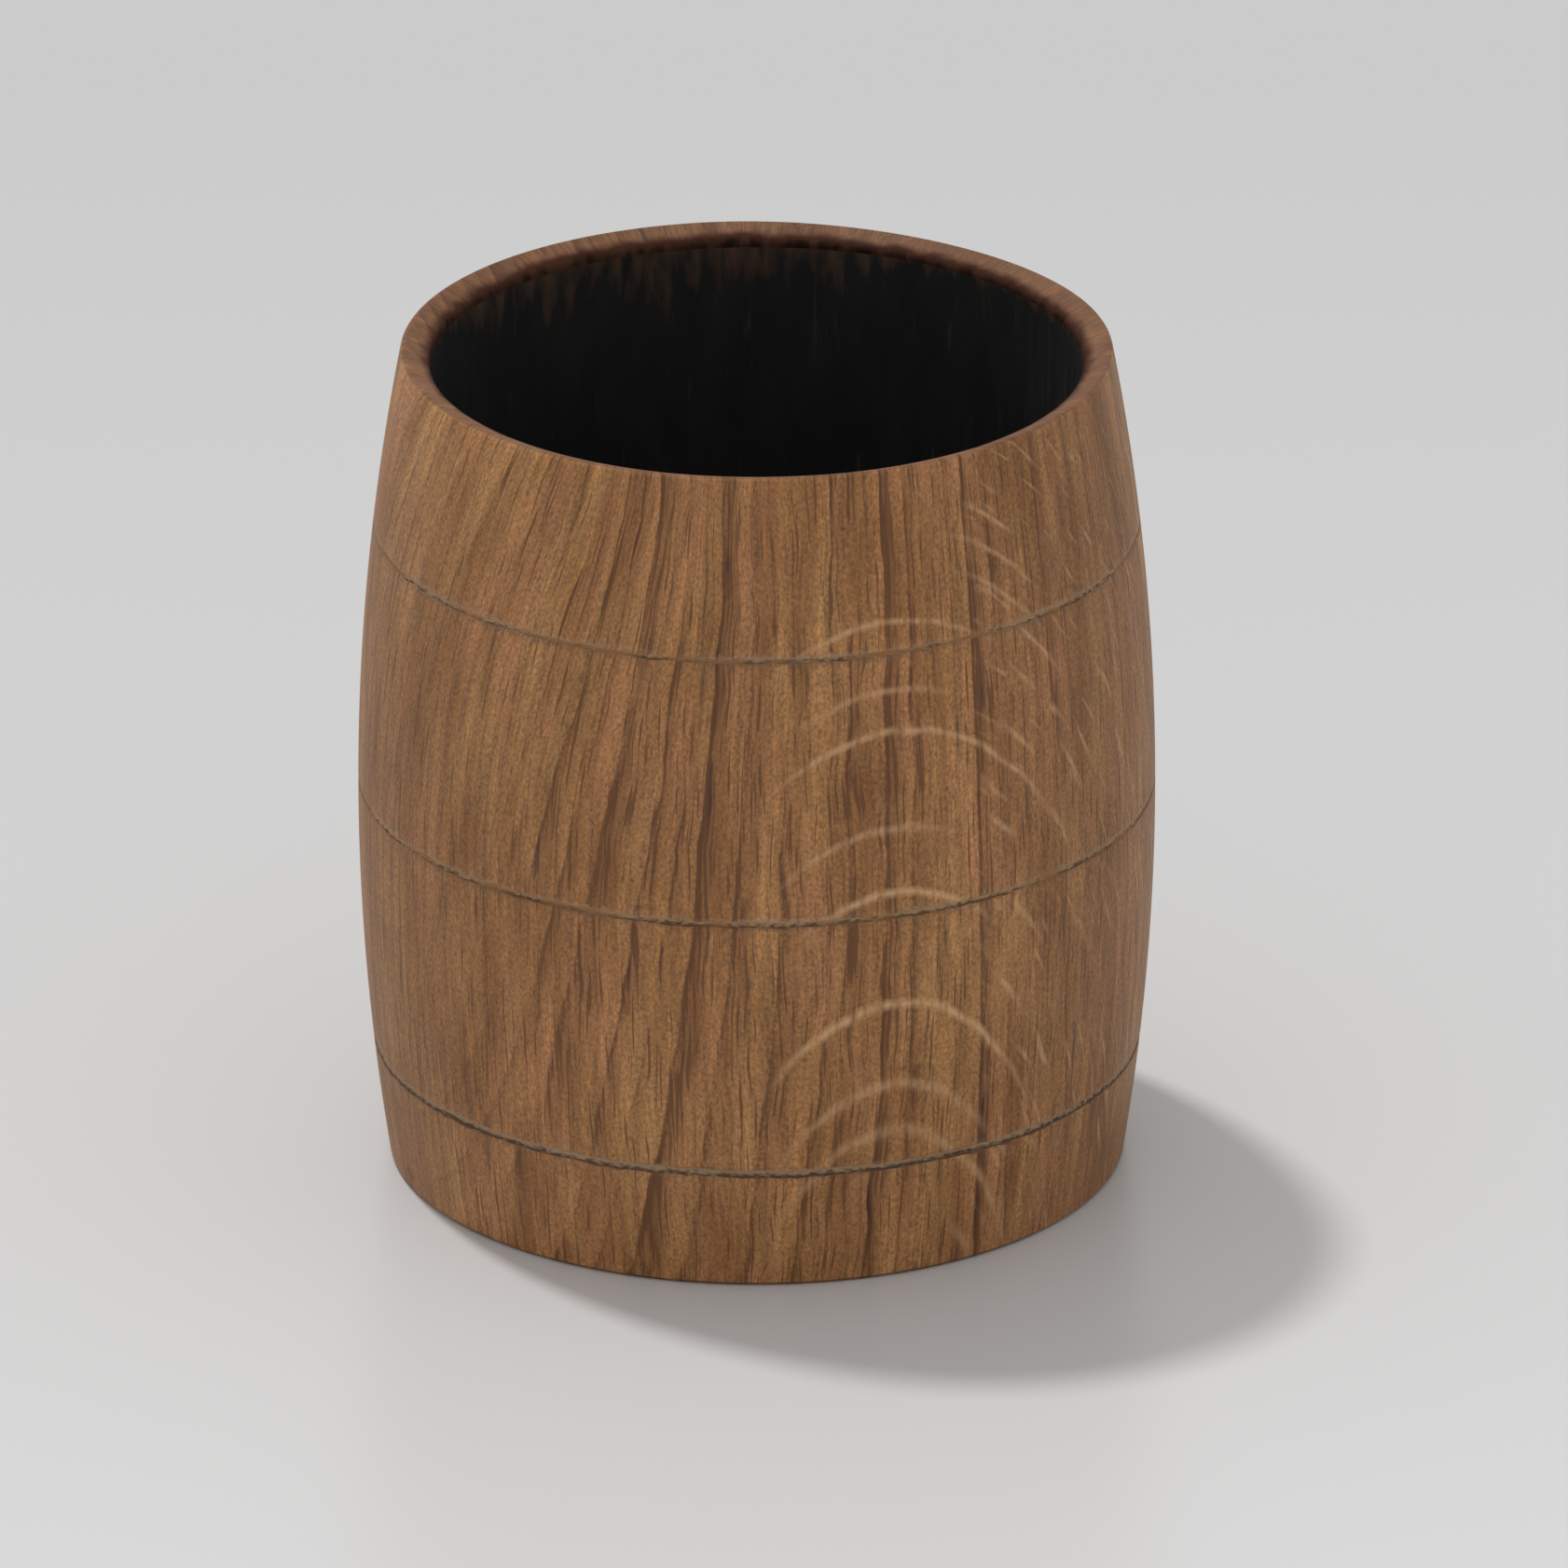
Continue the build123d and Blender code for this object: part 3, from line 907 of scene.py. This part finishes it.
# %% Scorched oak
scorch = new_material("scorched_oak")
tree = scorch.node_tree
block = add("Mapping", add("TexCoord", out="Object"), None, None, TO_MM)
height = add("SeparateXYZ", block, out="Z")
from_line = from_nearest_line(height)
fuzz = uneven(block, (0.7, 0.7, 0.3), 60.0, 3.0)
frayed = add("Math", fuzz, 1.5, from_line, operation="MULTIPLY_ADD")
above = add("MapRange", frayed, -0.2, 0.22)
higher = add("MapRange", height, 20.0, 35.0)
colours = []
# The second pair of colours is painted highlight: the pale upper side of each line, where the groove's edge catches
# light.
for low_line, high_line in (("#5A4335", "#5F4632"), ("#A08568", "#A58563")):
    ends = {6: linear(low_line), 7: linear(high_line)}
    colours.append(add("Mix", higher, sockets=ends, out=2, data_type="RGBA"))
colour = add("Mix", above, sockets={6: colours[0], 7: colours[1]}, out=2, data_type="RGBA")
faint = add("MapRange", blotches(block, (7, 7, 7), 33.0, 2.0), 0.45, 0.62)
faint = add("Math", faint, higher, operation="MULTIPLY")
colour = add("Mix", faint, sockets={6: colour, 7: linear("#94683F")}, out=2, data_type="RGBA")
print("nodes so far:", len(tree.nodes))

# %% Edges and surface of the scorched lines
edge = add("Math", fuzz, 0.8, add("Math", from_line, operation="ABSOLUTE"), operation="MULTIPLY_ADD")
edge = add("MapRange", edge, 0.3, 0.65, 0.0, 0.8)
colour = add("Mix", edge, sockets={6: colour, 7: linear("#8A6039")}, out=2, data_type="RGBA")
crumbs = blotches(block, (0.25, 0.25, 0.25), 5.0, 3.0)
bump = add("Bump", sockets={"Strength": 0.8, "Distance": 0.08 * MM, "Height": crumbs})
scorch_shader = add(
    "BsdfPrincipled",
    sockets={"Base Color": colour, "Roughness": 0.85, "Normal": bump, "Specular IOR Level": 0.2},
)
add("OutputMaterial", scorch_shader)
for piece in burnt_lines:
    dress(piece, scorch)

# %% [markdown]
# ## Pitch
#
# Pitch is a brown-black resin that sets glossy. Slow noise varies both its colour and its gloss, as dust does.

# %% Pitch
pitch = new_material("black_pitch")
tree = pitch.node_tree
block = add("Mapping", add("TexCoord", out="Object"), None, None, TO_MM)
lumps = blotches(block, (2.0, 2.0, 2.0), 5.0, 2.0)
colour = add("Mix", lumps, sockets={6: linear("#1A120C"), 7: linear("#2E2016")}, out=2, data_type="RGBA")
roughness = add("MapRange", lumps, 0.3, 0.7, 0.25, 0.45)
pitch_shader = add("BsdfPrincipled", sockets={"Base Color": colour, "Roughness": roughness})
add("OutputMaterial", pitch_shader)
dress(pitch_bead, pitch)

# %% [markdown]
# ## Floor and light
#
# The cup stands on a plain pale table with a faint gloss, which mirrors the foot of the cup a little. It is a
# single large face, so that no edge of it shows, and painted light makes its grey a little lighter towards the
# camera.

# %% Table top
TABLE_HALF = 20.0
top = bmesh.new()
bmesh.ops.create_grid(top, x_segments=1, y_segments=1, size=TABLE_HALF)
table_mesh = bpy.data.meshes.new("table_top")
top.to_mesh(table_mesh)
top.free()
table_top = bpy.data.objects.new("table_top", table_mesh)
bpy.context.scene.collection.objects.link(table_top)
lacquer = new_material("pale_lacquer")
tree = lacquer.node_tree
depth = add("SeparateXYZ", add("TexCoord", out="Object"), out="Y")
# Painted light: the table's colour brightens towards the camera, standing for light that changes across the table.
painted_light_nearer = add("MapRange", depth, 0.3, -0.11)
colour = add("Mix", painted_light_nearer, sockets={6: linear("#C6C6C6"), 7: linear("#D8D8D8")}, out=2, data_type="RGBA")
lacquer_shader = add("BsdfPrincipled", sockets={"Base Color": colour, "Roughness": 0.28, "IOR": 1.4})
add("OutputMaterial", lacquer_shader)
dress(table_top, lacquer)

# %% [markdown]
# A far lamp, high behind the left side, throws the shadow forwards and to the right. A sun gives its parallel rays,
# and the sun's angle sets how soft the edge of the shadow is. The rest of the light is even and comes from all
# round, from a plain white sky.

# %% Lamp and sky
LAMP_FROM = Vector((-22.9, 26.3, 86.0)).normalized()
LAMP_ENERGY = 1.42
SKY_STRENGTH = 0.63
lamp = bpy.data.lights.new("key_lamp", "SUN")
lamp.angle = math.radians(4.6)
lamp.energy = LAMP_ENERGY
key = bpy.data.objects.new("key_lamp", lamp)
bpy.context.scene.collection.objects.link(key)
key.location = LAMP_FROM
key.rotation_euler = LAMP_FROM.to_track_quat("Z", "Y").to_euler()

world = bpy.data.worlds.new("even_light")
world.use_nodes = True
sky = world.node_tree.nodes["Background"]
sky.inputs["Color"].default_value = (1, 1, 1, 1)
sky.inputs["Strength"].default_value = SKY_STRENGTH
bpy.context.scene.world = world
bpy.context.scene.view_settings.view_transform = "Standard"
print("light comes from", [round(c, 2) for c in LAMP_FROM])
